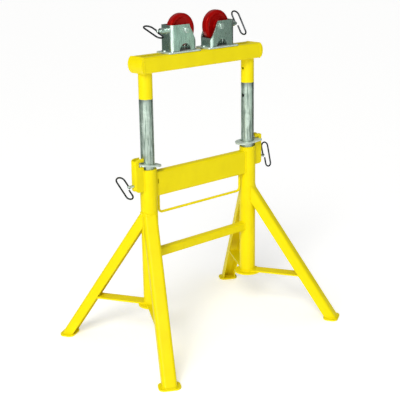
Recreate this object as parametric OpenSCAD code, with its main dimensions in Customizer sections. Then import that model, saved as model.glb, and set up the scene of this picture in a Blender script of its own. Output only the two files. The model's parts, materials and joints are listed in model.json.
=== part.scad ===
// Adjustable pipe roller support: a four-legged base with two uprights, a telescoping top frame
// with a slotted beam, and two roller heads that slide along the beam.
// Millimetres, Z up. The origin lies on the floor, midway between the four feet.

/* [Uprights] */
// Distance between the axes of the two uprights
upright_spacing = 480; // [440:5:540]
// Outside diameter of an upright
upright_od = 60.3; // [58:0.1:66]
// Wall of an upright
upright_wall = 5.5; // [4:0.1:6.5]
// Height of the upper rim of an upright
upright_top = 662; // [640:1:700]
// Diameter of the disc under an upright
disc_d = 100; // [84:1:120]
// Thickness of that disc
disc_t = 6; // [4:0.5:10]
// Height of the underside of that disc
disc_z = 157; // [120:1:180]

/* [Legs and feet] */
// Direction of a leg in plan, from the line of the uprights
leg_azimuth = 60; // [56:1:68]
// Distance in plan from the upright's axis to the foot's centre
foot_reach = 337; // [300:1:380]
// Height at which a leg's centre line meets the upright
leg_join_z = 467; // [430:1:490]
// Width of the leg channel
leg_w = 50; // [44:0.5:52]
// Depth of the leg channel
leg_d = 37; // [32:0.5:42]
// Wall of the leg channel
leg_wall = 4; // [3:0.25:5]
// Outside radius of the channel's two bends
leg_bend = 12; // [8:0.5:14]
// Length of a foot plate across its leg
foot_l = 76; // [66:1:100]
// Width of a foot plate along its leg
foot_w = 56; // [52:1:64]
// Corner radius of a foot plate
foot_corner = 20; // [10:1:25]
// Thickness of a foot plate
foot_t = 6; // [4:0.5:10]
// Thickness of the flat brace from a leg to its upright
brace_t = 6; // [4:0.5:8]

/* [Cross members] */
// Height of the upper rail
rail_h = 88; // [70:1:95]
// Depth of the upper rail
rail_d = 34; // [28:1:40]
// Wall of the upper rail
rail_wall = 4; // [3:0.25:4.5]
// Outside corner radius of the upper rail
rail_corner = 6; // [5:0.5:10]
// Drop from the uprights' rims to the upper rail's top
rail_drop = 14; // [10:1:30]
// Height of the drain notch at the rail's left end
vent_h = 15; // [8:1:24]
// Width of that drain notch
vent_w = 8; // [3:0.5:10]
// Height of that notch above the rail's underside
vent_rise = 54; // [20:1:64]
// Side of the square lower rail
low_rail = 30; // [26:1:36]
// Wall of the lower rail
low_rail_wall = 3; // [2:0.25:3]
// Outside corner radius of the lower rail
low_rail_corner = 4; // [3.5:0.5:8]
// Height of the lower rail's underside
low_rail_z = 334; // [300:1:370]
// Diameter of the carrying rod
rod_d = 9; // [7:0.5:12]
// Drop from the upper rail's underside to the carrying rod's centre line
rod_drop = 65; // [50:1:80]
// Gap between an upright and the carrying rod's standing end
rod_gap = 8.35; // [6:0.05:30]
// Centre line radius of the carrying rod's bends
rod_bend = 15; // [12:1:22]

/* [Top frame] */
// Outside diameter of an inner tube
tube_od = 48.3; // [46:0.1:48.6]
// Wall of an inner tube
tube_wall = 3.7; // [2.5:0.1:5]
// Length of an inner tube inside its upright
tube_in = 207; // [192:1:212]
// Diameter of the lower vent hole in an inner tube
tube_vent_d = 14; // [8:0.5:16]
// Drop from the beam's underside to that vent hole
tube_vent_drop = 137; // [110:1:160]
// Diameter of the upper vent hole in an inner tube
tube_vent2_d = 10; // [6:0.5:12]
// Drop from the beam's underside to the upper vent hole
tube_vent2_drop = 37; // [25:1:60]
// Rise of the top frame at which the lock pins meet their stop holes
stop_rise = 100; // [60:1:104]
// Height of the beam's underside above the uprights' rims
beam_rise = 332; // [328:1:398]
// Length of the beam without its end caps
beam_l = 542; // [520:1:640]
// Width of the beam
beam_w = 76; // [70:1:90]
// Height of the beam
beam_h = 54; // [46:1:70]
// Wall of the beam
beam_wall = 4; // [3:0.25:4.5]
// Outside corner radius of the beam
beam_corner = 6; // [5:0.5:12]
// Width of the slot along the beam's top
slot_w = 18; // [14:1:30]
// Length of that slot
slot_l = 506; // [490:1:516]
// Bulge of the end caps
cap_bulge = 11; // [6:0.5:16]
// Wall of the end caps
cap_wall = 4; // [3:0.25:5]

/* [Height locks] */
// Distance from the upright's surface to the lock bracket's outer face
bracket_reach = 35; // [30:1:44]
// Width of the lock bracket
bracket_w = 26; // [25:0.5:34]
// Wall of the lock bracket
bracket_wall = 4; // [3:0.25:4]
// Outside radius of the lock bracket's bends
bracket_bend = 6; // [5:0.5:8]
// Drop from the upright's rim to the lock bracket's lower end
bracket_drop = 75; // [65:1:100]
// Rise of the lock bracket's top above the upright's rim
bracket_rise = 42; // [34:1:46]
// Radius of the lock bracket's two rounded outer corners
bracket_round = 16; // [8:1:18]
// Width of the lock plate round the inner tube
plate_w = 68; // [64:1:76]
// Distance from the tube's axis to the lock plate's inner end
plate_reach = 51; // [46:1:60]
// Distance from the tube's axis to the lock plate's outer end
plate_back = 48; // [44:0.5:52]
// Radius of the lock plate's two outer corners
plate_corner = 8; // [4:0.5:12]
// Thickness of the lock plate
plate_t = 6; // [4:0.5:7]
// Height of the lock plate's pivot above the upright's rim
plate_rise = 22; // [21:0.5:26]
// Height of the notches that hold the lock plate
notch_h = 16; // [14:0.5:17]
// Angle by which the left lock plate hangs down at rest
left_tilt = 10; // [0:1:10]
// Angle by which the right lock plate hangs down at rest
right_tilt = 4; // [0:1:10]
// Room in the lock plate's hole for canting, on the diameter
plate_room = 4.3; // [4.2:0.1:6]
// Diameter of the lock pin
lock_pin_d = 10; // [8:0.5:11]
// Diameter of the lock pin's flange
lock_flange_d = 16; // [14:0.5:16.5]
// Drop from the upright's rim to the lock pin
lock_pin_drop = 51; // [45:1:60]
// Length of the lock pin outside its bracket
lock_pin_out = 24; // [22:1:34]
// Wire of the lock pin's spring
lock_spring_wire = 1.8; // [1.2:0.1:2]

/* [Pull rings] */
// Length of a pull ring over its wire
ring_l = 100; // [80:1:120]
// Width of a pull ring over its wire
ring_w = 39; // [34:1:46]
// Wire of a pull ring
ring_wire = 6; // [4:0.25:6.5]
// Step from the ring's leg in the pin out to its free leg
ring_step = 7; // [5:0.5:9]
// Roll of the left lock pin's ring about its pin
roll_left_lock = -51; // [-90:1:90]
// Roll of the right lock pin's ring
roll_right_lock = -14; // [-90:1:90]
// Roll of the left head pin's ring
roll_left_head = -70; // [-90:1:90]
// Roll of the right head pin's ring
roll_right_head = -32; // [-90:1:90]

/* [Roller heads] */
// Distance from the middle of the beam to a wheel's axle
axle_x = 81.5; // [80:0.5:150]
// Height of the axle above the beam
axle_rise = 75.5; // [73:0.5:90]
// Diameter of the wheel
wheel_d = 110; // [96:1:112]
// Width of the wheel's rim
wheel_w = 28; // [24:0.5:32]
// Length of the head box along the beam
box_l = 112; // [110:1:130]
// Width of the head box
box_w = 62; // [58:1:68]
// Height of the head box
box_h = 89; // [84:1:100]
// Wall of the head box
box_wall = 4; // [3:0.25:5]
// Outside corner radius of the head box
box_corner = 12; // [7:0.5:13]
// Height of the head box's low inner wall
box_low = 22; // [14:1:26]
// Length of the head box's level top edge
box_top_l = 79; // [66:1:90]
// Distance from the axle to the box's outer face
box_out = 64; // [62:0.5:70]
// Radius of the half-round opening in the box's sides
window_r = 25; // [16:0.5:26]
// Shift of that opening from the axle, outwards
window_shift = 4; // [0:0.5:6]
// Thickness of the head's base plate
base_t = 5; // [4:0.5:10]
// Width of the head's base plate
base_w = 74; // [69:1:84]
// Corner radius of the base plate
base_corner = 8; // [2:1:16]
// Overhang of the base plate beyond the box, outwards
base_out = 16; // [16:0.5:24]
// Overhang of the base plate beyond the box, inwards
base_in = 16; // [16:0.5:22]
// Thickness of the clamp plate inside the beam
clamp_t = 8; // [6:0.5:12]
// Width of the clamp plate
clamp_w = 44; // [34:1:52]
// Diameter of a clamp bolt
clamp_bolt_d = 8; // [6:0.5:10]
// Diameter of the axle bolt
axle_d = 12; // [8:0.5:14]
// Outside diameter of the wheel's bush
bush_d = 22; // [18:0.5:26]
// Length of an axle spacer
spacer_l = 10.2; // [8:0.1:12]

/* [Head pins] */
// Diameter of a head pin
head_pin_d = 10; // [7:0.5:10.5]
// Diameter of a head pin's flange
head_flange_d = 14.4; // [13:0.2:14.6]
// Outside diameter of the collar that holds the pin's spring
collar_d = 20; // [19.6:0.2:24]
// Length of the collar
collar_l = 25; // [24:0.5:32]
// Wall of the collar
collar_wall = 2.5; // [1.75:0.25:2.5]
// Gap left between a head pin's ring and its collar when the pin is pressed in
head_ring_gap = 0.5; // [0.3:0.1:6]
// Gap between a head pin's nose and the tread at rest
brake_gap = 5.5; // [4:0.25:6]
// Wire of a head pin's spring
head_spring_wire = 1.4; // [0.8:0.1:1.6]

/* [Clearances] */
// Root gap of a welded seam
weld_gap = 0.1; // [0.05:0.05:0.3]
// Radial clearance of a turning or sliding pin in its bore
run_gap = 0.1; // [0.05:0.01:0.1]
// Clearance between faces that slide past each other
slide_gap = 0.3; // [0.3:0.05:0.5]
// Room between the lock plate's outer end and its notches
notch_gap = 0.8; // [0.8:0.05:0.95]

/* [Hidden] */
$fn = 64;
spring_sides = 6;
spring_steps = 16;
spring_room = 1;
flange_room = 1;
eps = 1;

paint_yellow = "#f0e010";
zinc_grey = "#b9c7bb";
wheel_red = "#a80f14";
steel_grey = "#8b9196";
bronze = "#b08a4a";
wire_grey = "#9aa0a4";

// Sides of the object: the left is -X, the right is +X.
left = -1;
right = 1;
front = -1;
rear = 1;

upright_x = upright_spacing / 2;
upright_r = upright_od / 2;
upright_id = upright_od - 2 * upright_wall;
disc_top = disc_z + disc_t;
tube_r = tube_od / 2;

// A leg's slope and length, and the plan distance of its open mouth from the upright's axis at a height
leg_tilt = atan2(leg_join_z - foot_t, foot_reach - upright_r);
leg_length = foot_reach / cos(leg_tilt);
function leg_mouth_r(z) = foot_reach - (z - foot_t) / tan(leg_tilt) - leg_d / 2 / sin(leg_tilt);
// A brace's long edges end in the middle of the leg's flanges.
brace_w = leg_w - leg_wall;

rail_cut_r = upright_r + weld_gap;
rail_z = upright_top - rail_drop - rail_h;
rod_z = rail_z - rod_drop;
rod_x = upright_x - upright_r - rod_gap - rod_d / 2;
vent_x = upright_x - sqrt(pow(rail_cut_r, 2) - pow(rail_d / 2, 2));
vent_z = rail_z + vent_rise;

tube_z = upright_top - tube_in;
beam_z = upright_top + beam_rise;
beam_top = beam_z + beam_h;
cap_r = (pow(beam_h / 2, 2) + pow(cap_bulge, 2)) / (2 * cap_bulge);

bracket_face = upright_x + upright_r + bracket_reach;
bracket_z = upright_top - bracket_drop;
bracket_h = bracket_drop + bracket_rise;
plate_end = upright_x + plate_back;
pivot_x = plate_end - plate_t / 2;
pivot_z = upright_top + plate_rise;
lock_pin_z = upright_top - lock_pin_drop;
lock_nose_x = upright_x + tube_r + slide_gap;
lock_flange_x = upright_x + upright_r + flange_room;
lock_flange_t = 3;
lock_coils = 6;
lock_spring_x = lock_flange_x + lock_flange_t;
lock_pin_end = bracket_face + lock_pin_out;
lock_ring_x = lock_pin_end - lock_pin_d / 2;
nose_bevel = 1.5;
ring_end_gap = 2;

axle_z = beam_top + axle_rise;
base_z = beam_top + slide_gap;
box_z = base_z + base_t;
box_far = axle_x + box_out;
box_near = box_far - box_l;
box_mid = (box_far + box_near) / 2;
base_far = box_far + base_out;
base_near = box_near - base_in;
base_l = base_far - base_near;
bolt_far = box_far + base_out / 2;
bolt_near = box_near - base_in / 2;
// Hexagon heads and nuts, as shares of their thread's diameter
hex_wide = 1.8;
head_high = 0.65;
nut_high = 0.8;
thread_out = 2;
bolt_head_d = clamp_bolt_d * hex_wide;
bolt_head_h = clamp_bolt_d * head_high;
clamp_top = beam_top - beam_wall - slide_gap;
window_x = axle_x + window_shift;
rim_round = 8;
rim_depth = 14;
dish_depth = 1.5;
hub_wall = 7;
hub_flare = 3;
web_half = wheel_w / 2 - dish_depth;
hub_d = bush_d + 2 * hub_wall;
bush_l = box_w - 2 * (box_wall + spacer_l + slide_gap);
spacer_d = bush_d - slide_gap;
spacer_y = box_w / 2 - box_wall - spacer_l / 2;
axle_head_d = axle_d * hex_wide;
axle_head_h = axle_d * head_high;
nut_h = axle_d * nut_high;

collar_end = box_far + collar_l;
collar_bore = collar_d - 2 * collar_wall;
head_nose_x = axle_x + wheel_d / 2 + brake_gap;
head_flange_t = 3;
head_coils = 4;
head_flange_x = box_far + brake_gap + flange_room;
head_spring_x = head_flange_x + head_flange_t;
head_ring_x = collar_end + brake_gap + head_ring_gap + ring_wire / 2;
head_pin_end = head_ring_x + head_pin_d / 2;

// Every sided piece is drawn for the right and mirrored for the left.
module on_side(side) {
    if (side == right) children();
    else mirror([1, 0, 0]) children();
}

// A rectangle with four round corners, about its centre
module round_rect(l, w, r) {
    square([l - 2 * r, w], center = true);
    square([l, w - 2 * r], center = true);
    for (x = [-1, 1], y = [-1, 1]) translate([x * (l / 2 - r), y * (w / 2 - r)]) circle(r);
}

// A box section with round corners outside and in
module box_profile(l, w, wall, r) {
    difference() {
        round_rect(l, w, r);
        round_rect(l - 2 * wall, w - 2 * wall, r - wall);
    }
}

// A channel profile: its web on +X with two round bends, its mouth on -X
module channel_profile(depth, width, wall, bend) {
    module filled(d, w, r) {
        translate([-d / 2, -w / 2]) square([d - r, w]);
        translate([-d / 2, r - w / 2]) square([d, w - 2 * r]);
        for (y = [-1, 1]) translate([d / 2 - r, y * (w / 2 - r)]) circle(r);
    }
    difference() {
        filled(depth, width, bend);
        translate([-wall, 0]) filled(depth, width - 2 * wall, bend - wall);
    }
}

// A bar along X on the height z, centred on the object
module along_x(length) {
    rotate([90, 0, 90]) linear_extrude(length, center = true) children();
}

// A hole or pin along X from x0 to x1
module x_cylinder(x0, x1, d) {
    translate([x0, 0, 0]) rotate([0, 90, 0]) cylinder(d = d, h = x1 - x0);
}

// A hole or pin along Y from y0 to y1
module y_cylinder(y0, y1, d, sides = $fn) {
    translate([0, y1, 0]) rotate([90, 0, 0]) cylinder(d = d, h = y1 - y0, $fn = sides);
}

// A round wire wound about X from x0 to x1, with its ends cut square
module coil_spring(x0, x1, mean_d, wire, turns) {
    count = turns * spring_steps;
    rise = (x1 - x0 - wire) / count;
    function ring_at(i) = [for (j = [0 : spring_sides - 1])
        let (a = 360 * i / spring_steps, b = 360 * j / spring_sides, r = mean_d / 2 + wire / 2 * cos(b))
        [x0 + wire / 2 + rise * i + wire / 2 * sin(b), r * cos(a), r * sin(a)]];
    points = [for (i = [0 : count]) each ring_at(i)];
    sides = [for (i = [0 : count - 1], j = [0 : spring_sides - 1])
        let (k = (j + 1) % spring_sides, n = spring_sides)
        [i * n + j, i * n + k, (i + 1) * n + k, (i + 1) * n + j]];
    first_end = [for (j = [spring_sides - 1 : -1 : 0]) j];
    last_end = [for (j = [0 : spring_sides - 1]) count * spring_sides + j];
    polyhedron(points, concat(sides, [first_end, last_end]));
}

// A spring pin along X: a bevelled nose, a flange for its spring and a cross hole for its ring
module pull_pin(nose_x, flange_x, flange_t, end_x, d, flange_d, roll) {
    difference() {
        rotate([0, 90, 0]) rotate_extrude() polygon([
            [0, nose_x], [d / 2 - nose_bevel, nose_x], [d / 2, nose_x + nose_bevel],
            [d / 2, flange_x], [flange_d / 2, flange_x], [flange_d / 2, flange_x + flange_t],
            [d / 2, flange_x + flange_t], [d / 2, end_x - nose_bevel],
            [d / 2 - nose_bevel, end_x], [0, end_x]]);
        translate([end_x - d / 2, 0, 0]) rotate([roll, 0, 0])
            cylinder(d = ring_wire + 2 * run_gap, h = d + 2 * eps, center = true);
    }
}

// An open wire ring in a plane with X, rolled about X: one leg goes through a pin of diameter d at x = 0,
// and the wire comes round to a free leg that ends under the pin's tip
module pull_ring(roll, d) {
    far_x = ring_w - ring_wire;
    high_bend = far_x / 2;
    low_bend = (far_x - ring_step) / 2;
    half_l = (ring_l - ring_wire) / 2;
    leg_end = d / 2 + ring_end_gap;
    module leg(x, z0, z1) {
        translate([x, 0, z0]) cylinder(d = ring_wire, h = z1 - z0);
    }
    module half_turn(x, z, bend, first) {
        translate([x, 0, z]) rotate([90, 0, 0]) rotate([0, 0, first])
            rotate_extrude(angle = 180) translate([bend, 0]) circle(d = ring_wire);
    }
    rotate([roll, 0, 0]) {
        leg(0, -leg_end, half_l - high_bend);
        half_turn(high_bend, half_l - high_bend, high_bend, 0);
        leg(far_x, low_bend - half_l, half_l - high_bend);
        half_turn(far_x - low_bend, low_bend - half_l, low_bend, 180);
        leg(ring_step, low_bend - half_l, -leg_end - ring_end_gap);
    }
}

// Base

module upright(side) {
    color(paint_yellow) on_side(side) translate([upright_x, 0, 0]) difference() {
        translate([0, 0, disc_top]) cylinder(d = upright_od, h = upright_top - disc_top);
        translate([0, 0, disc_top - eps]) cylinder(d = upright_id, h = upright_top - disc_top + 2 * eps);
        translate([0, 0, lock_pin_z]) x_cylinder(0, upright_od, lock_pin_d + 2 * run_gap);
    }
}

module base_disc(side) {
    color(paint_yellow) on_side(side) translate([upright_x, 0, disc_z]) cylinder(d = disc_d, h = disc_t);
}

// Turns a piece drawn along +X from an upright's axis into the direction of a leg
module at_leg(side, end) {
    on_side(side) translate([upright_x, 0, 0]) rotate([0, 0, end * leg_azimuth]) children();
}

module leg(side, end) {
    color(paint_yellow) at_leg(side, end) difference() {
        translate([foot_reach, 0, foot_t]) rotate([0, leg_tilt - 90, 0]) translate([0, 0, -leg_d])
            linear_extrude(leg_length + leg_d) channel_profile(leg_d, leg_w, leg_wall, leg_bend);
        translate([foot_reach, 0, foot_t - leg_d]) cube([4 * leg_d, 2 * leg_w, 2 * leg_d], center = true);
        cylinder(r = upright_r + weld_gap, h = upright_top);
    }
}

module foot(side, end) {
    color(paint_yellow) at_leg(side, end) translate([foot_reach, 0, 0]) linear_extrude(foot_t)
        round_rect(foot_w, foot_l, foot_corner);
}

module brace(side, end) {
    z0 = disc_top + weld_gap;
    z1 = z0 + brace_t;
    color(paint_yellow) at_leg(side, end) difference() {
        rotate([90, 0, 0]) linear_extrude(brace_w, center = true) polygon([
            [0, z0], [leg_mouth_r(z0) - weld_gap, z0], [leg_mouth_r(z1) - weld_gap, z1], [0, z1]]);
        translate([0, 0, z0 - eps]) cylinder(r = upright_r + weld_gap, h = brace_t + 2 * eps);
    }
}

// Cuts both ends of a cross member to the uprights
module cope_to_uprights() {
    difference() {
        children();
        for (x = [-1, 1]) translate([x * upright_x, 0, 0]) cylinder(r = rail_cut_r, h = beam_z);
    }
}

module upper_rail() {
    color(paint_yellow) difference() {
        cope_to_uprights() translate([0, 0, rail_z + rail_h / 2]) along_x(upright_spacing - upright_r)
            box_profile(rail_d, rail_h, rail_wall, rail_corner);
        translate([-vent_x, -rail_d / 2, vent_z]) cube([2 * vent_w, 3 * rail_wall, vent_h], center = true);
    }
}

module lower_rail() {
    color(paint_yellow) cope_to_uprights() translate([0, 0, low_rail_z + low_rail / 2])
        along_x(upright_spacing - upright_r) box_profile(low_rail, low_rail, low_rail_wall, low_rail_corner);
}

module carry_rod() {
    standing = rail_z - weld_gap - rod_z - rod_bend;
    color(paint_yellow) {
        translate([0, 0, rod_z]) x_cylinder(rod_bend - rod_x, rod_x - rod_bend, rod_d);
        for (side = [left, right]) on_side(side) translate([rod_x, 0, rod_z + rod_bend]) {
            cylinder(d = rod_d, h = standing);
            translate([-rod_bend, 0, 0]) rotate([90, 0, 0]) rotate([0, 0, -90])
                rotate_extrude(angle = 90) translate([rod_bend, 0]) circle(d = rod_d);
        }
    }
}

// Height locks

module lock_bracket(side) {
    depth = bracket_reach + upright_r;
    color(paint_yellow) on_side(side) difference() {
        intersection() {
            translate([bracket_face - depth / 2, 0, bracket_z]) linear_extrude(bracket_h)
                channel_profile(depth, bracket_w, bracket_wall, bracket_bend);
            translate([bracket_face, bracket_w, bracket_z]) rotate([90, 0, 0])
            linear_extrude(2 * bracket_w) {
                translate([-depth, bracket_round]) square([depth, bracket_h - 2 * bracket_round]);
                translate([-depth, 0]) square([depth - bracket_round, bracket_h]);
                for (z = [bracket_round, bracket_h - bracket_round])
                    translate([-bracket_round, z]) circle(bracket_round);
            }
        }
        translate([upright_x, 0, 0]) cylinder(r = upright_r + weld_gap, h = beam_z);
        translate([upright_x, -bracket_w, pivot_z - notch_h / 2])
            cube([plate_back + notch_gap, 2 * bracket_w, notch_h]);
        translate([0, 0, lock_pin_z]) x_cylinder(upright_x, bracket_face + eps, lock_pin_d + 2 * run_gap);
    }
}

// A plate with a hole for the tube, which rocks on its half-round outer edge
module lock_plate(side, tilt) {
    round_x = plate_w / 2 - plate_reach;
    edge_x = pivot_x - upright_x;
    color(zinc_grey) on_side(side) translate([pivot_x, 0, pivot_z]) rotate([0, -tilt, 0])
        translate([-edge_x, 0, 0]) intersection() {
            linear_extrude(plate_t, center = true) difference() {
                union() {
                    translate([round_x, 0]) circle(d = plate_w);
                    translate([round_x, -plate_w / 2])
                        square([plate_back - plate_corner - round_x, plate_w]);
                    translate([0, plate_corner - plate_w / 2])
                        square([plate_back, plate_w - 2 * plate_corner]);
                    for (y = [-1, 1])
                        translate([plate_back - plate_corner, y * (plate_w / 2 - plate_corner)])
                            circle(plate_corner);
                }
                circle(d = tube_od + plate_room);
            }
            rotate([90, 0, 0]) linear_extrude(2 * plate_w, center = true) {
                translate([-plate_w, -plate_t]) square([plate_w + edge_x, 2 * plate_t]);
                translate([edge_x, 0]) circle(d = plate_t);
            }
        }
}

module lock_pin(side, roll) {
    color(steel_grey) on_side(side) translate([0, 0, lock_pin_z])
        pull_pin(lock_nose_x, lock_flange_x, lock_flange_t, lock_pin_end, lock_pin_d, lock_flange_d, roll);
}

module lock_ring(side, roll) {
    color(wire_grey) on_side(side) translate([lock_ring_x, 0, lock_pin_z]) pull_ring(roll, lock_pin_d);
}

module lock_spring(side) {
    color(steel_grey) on_side(side) translate([0, 0, lock_pin_z])
        coil_spring(lock_spring_x + slide_gap, bracket_face - bracket_wall - slide_gap,
            lock_pin_d + lock_spring_wire + spring_room, lock_spring_wire, lock_coils);
}

// Top frame

module inner_tube(side) {
    length = beam_z - weld_gap - tube_z;
    stop_z = lock_pin_z - stop_rise;
    color(zinc_grey) on_side(side) translate([upright_x, 0, 0]) difference() {
        translate([0, 0, tube_z]) cylinder(d = tube_od, h = length);
        translate([0, 0, tube_z - eps]) cylinder(d = tube_od - 2 * tube_wall, h = length + 2 * eps);
        translate([0, 0, beam_z - tube_vent_drop]) x_cylinder(-tube_od, 0, tube_vent_d);
        translate([0, 0, beam_z - tube_vent2_drop]) x_cylinder(-tube_od, 0, tube_vent2_d);
        translate([0, 0, stop_z]) x_cylinder(0, tube_od, lock_pin_d + 2 * slide_gap);
    }
}

module beam() {
    color(paint_yellow) difference() {
        translate([0, 0, beam_z + beam_h / 2]) along_x(beam_l)
            box_profile(beam_w, beam_h, beam_wall, beam_corner);
        translate([0, 0, beam_top - 2 * beam_wall]) linear_extrude(4 * beam_wall) {
            square([slot_l - slot_w, slot_w], center = true);
            for (x = [-1, 1]) translate([x * (slot_l - slot_w) / 2, 0]) circle(d = slot_w);
        }
    }
}

module beam_end_caps() {
    start = beam_l / 2 + weld_gap;
    axis_x = start + cap_bulge - cap_r;
    color(paint_yellow) for (side = [left, right]) on_side(side) intersection() {
        translate([axis_x, 0, beam_z + beam_h / 2]) difference() {
            y_cylinder(-beam_w / 2, beam_w / 2, 2 * cap_r);
            y_cylinder(cap_wall - beam_w / 2, beam_w / 2 - cap_wall, 2 * (cap_r - cap_wall));
        }
        translate([start, 0, beam_z + beam_h / 2]) rotate([90, 0, 90])
            linear_extrude(2 * cap_bulge) round_rect(beam_w, beam_h, beam_corner);
    }
}

// Roller heads

module head_box(side) {
    side_slope = [[box_far - box_top_l, box_z + box_h], [box_near, box_z + box_low],
        [box_near - eps, box_z + box_low], [box_near - eps, box_z + box_h + eps],
        [box_far - box_top_l, box_z + box_h + eps]];
    color(zinc_grey) on_side(side) difference() {
        translate([box_mid, 0, box_z]) linear_extrude(box_h)
            box_profile(box_l, box_w, box_wall, box_corner);
        rotate([90, 0, 0]) linear_extrude(2 * box_w, center = true) polygon(side_slope);
        translate([window_x, 0, box_z]) y_cylinder(-box_w, box_w, 2 * window_r);
        translate([axle_x, 0, axle_z]) y_cylinder(-box_w, box_w, axle_d + 2 * run_gap);
        translate([0, 0, axle_z]) x_cylinder(box_mid, box_far + eps, head_pin_d + 2 * run_gap);
    }
}

module base_plate(side) {
    color(zinc_grey) on_side(side) difference() {
        translate([base_near + base_l / 2, 0, base_z]) linear_extrude(base_t)
            round_rect(base_l, base_w, base_corner);
        for (x = [bolt_near, bolt_far]) translate([x, 0, base_z - eps])
            cylinder(d = clamp_bolt_d + 2 * run_gap, h = base_t + 2 * eps);
    }
}

module clamp_plate(side) {
    color(steel_grey) on_side(side) difference() {
        translate([base_near, -clamp_w / 2, clamp_top - clamp_t]) cube([base_l, clamp_w, clamp_t]);
        for (x = [bolt_near, bolt_far]) translate([x, 0, clamp_top - clamp_t - eps])
            cylinder(d = clamp_bolt_d + 2 * run_gap, h = clamp_t + 2 * eps);
    }
}

module clamp_bolts(side) {
    color(steel_grey) on_side(side) for (x = [bolt_near, bolt_far]) translate([x, 0, box_z]) {
        rotate([0, 0, 30]) cylinder(d = bolt_head_d, h = bolt_head_h, $fn = 6);
        translate([0, 0, clamp_top - clamp_t - box_z])
            cylinder(d = clamp_bolt_d, h = box_z - clamp_top + clamp_t);
    }
}

module wheel(side) {
    rim_r = wheel_d / 2;
    color(wheel_red) on_side(side) translate([axle_x, 0, axle_z]) rotate([90, 0, 0]) rotate_extrude() {
        translate([rim_r - rim_depth, -wheel_w / 2]) square([rim_depth - rim_round, wheel_w]);
        translate([rim_r - rim_depth, rim_round - wheel_w / 2]) square([rim_depth, wheel_w - 2 * rim_round]);
        for (y = [-1, 1]) translate([rim_r - rim_round, y * (wheel_w / 2 - rim_round)]) circle(rim_round);
        polygon([
            [bush_d / 2 + run_gap, -bush_l / 2], [hub_d / 2, -bush_l / 2],
            [hub_d / 2 + hub_flare, -web_half], [rim_r - rim_depth + eps, -web_half],
            [rim_r - rim_depth + eps, web_half], [hub_d / 2 + hub_flare, web_half],
            [hub_d / 2, bush_l / 2], [bush_d / 2 + run_gap, bush_l / 2]]);
    }
}

module wheel_bush(side) {
    color(bronze) on_side(side) translate([axle_x, 0, axle_z]) difference() {
        y_cylinder(-bush_l / 2, bush_l / 2, bush_d);
        y_cylinder(-bush_l, bush_l, axle_d + 2 * run_gap);
    }
}

module axle_bolt(side) {
    reach = box_w / 2 + nut_h + thread_out;
    color(steel_grey) on_side(side) translate([axle_x, 0, axle_z]) {
        y_cylinder(-box_w / 2 - axle_head_h, -box_w / 2, axle_head_d, 6);
        y_cylinder(-box_w / 2 - eps, reach, axle_d);
    }
}

module axle_nut(side) {
    color(steel_grey) on_side(side) translate([axle_x, 0, axle_z]) difference() {
        y_cylinder(box_w / 2, box_w / 2 + nut_h, axle_head_d, 6);
        y_cylinder(0, box_w, axle_d + 2 * run_gap);
    }
}

module axle_spacers(side) {
    color(steel_grey) on_side(side) for (end = [front, rear]) translate([axle_x, end * spacer_y, axle_z])
        difference() {
            y_cylinder(-spacer_l / 2, spacer_l / 2, spacer_d);
            y_cylinder(-spacer_l, spacer_l, axle_d + 2 * run_gap);
        }
}

module pin_collar(side) {
    color(zinc_grey) on_side(side) translate([0, 0, axle_z]) difference() {
        x_cylinder(box_far, collar_end, collar_d);
        x_cylinder(box_far - eps, collar_end - collar_wall, collar_bore);
        x_cylinder(box_far, collar_end + eps, head_pin_d + 2 * run_gap);
    }
}

module head_pin(side, roll) {
    color(steel_grey) on_side(side) translate([0, 0, axle_z])
        pull_pin(head_nose_x, head_flange_x, head_flange_t, head_pin_end, head_pin_d, head_flange_d, roll);
}

module head_ring(side, roll) {
    color(wire_grey) on_side(side) translate([head_ring_x, 0, axle_z]) pull_ring(roll, head_pin_d);
}

module head_spring(side) {
    color(steel_grey) on_side(side) translate([0, 0, axle_z])
        coil_spring(head_spring_x + slide_gap, collar_end - collar_wall - slide_gap,
            head_pin_d + head_spring_wire + spring_room, head_spring_wire, head_coils);
}

upright(left);  // left_upright
upright(right);  // right_upright
base_disc(left);  // left_base_disc
base_disc(right);  // right_base_disc
leg(left, rear);  // left_rear_leg
leg(left, front);  // left_front_leg
leg(right, front);  // right_front_leg
leg(right, rear);  // right_rear_leg
foot(left, rear);  // left_rear_foot
foot(left, front);  // left_front_foot
foot(right, front);  // right_front_foot
foot(right, rear);  // right_rear_foot
brace(left, rear);  // left_rear_brace
brace(left, front);  // left_front_brace
brace(right, front);  // right_front_brace
brace(right, rear);  // right_rear_brace
upper_rail();
lower_rail();
carry_rod();
lock_bracket(left);  // left_lock_bracket
lock_bracket(right);  // right_lock_bracket
lock_plate(left, left_tilt);  // left_lock_plate
lock_plate(right, right_tilt);  // right_lock_plate
lock_pin(left, roll_left_lock);  // left_lock_pin
lock_pin(right, roll_right_lock);  // right_lock_pin
lock_ring(left, roll_left_lock);  // left_lock_ring
lock_ring(right, roll_right_lock);  // right_lock_ring
lock_spring(left);  // left_lock_spring
lock_spring(right);  // right_lock_spring
inner_tube(left);  // left_inner_tube
inner_tube(right);  // right_inner_tube
beam();
beam_end_caps();
head_box(left);  // left_head_box
head_box(right);  // right_head_box
base_plate(left);  // left_base_plate
base_plate(right);  // right_base_plate
clamp_plate(left);  // left_clamp_plate
clamp_plate(right);  // right_clamp_plate
clamp_bolts(left);  // left_clamp_bolts
clamp_bolts(right);  // right_clamp_bolts
wheel(left);  // left_wheel
wheel(right);  // right_wheel
wheel_bush(left);  // left_wheel_bush
wheel_bush(right);  // right_wheel_bush
axle_bolt(left);  // left_axle_bolt
axle_bolt(right);  // right_axle_bolt
axle_nut(left);  // left_axle_nut
axle_nut(right);  // right_axle_nut
axle_spacers(left);  // left_axle_spacers
axle_spacers(right);  // right_axle_spacers
pin_collar(left);  // left_pin_collar
pin_collar(right);  // right_pin_collar
head_pin(left, roll_left_head);  // left_head_pin
head_pin(right, roll_right_head);  // right_head_pin
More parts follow.
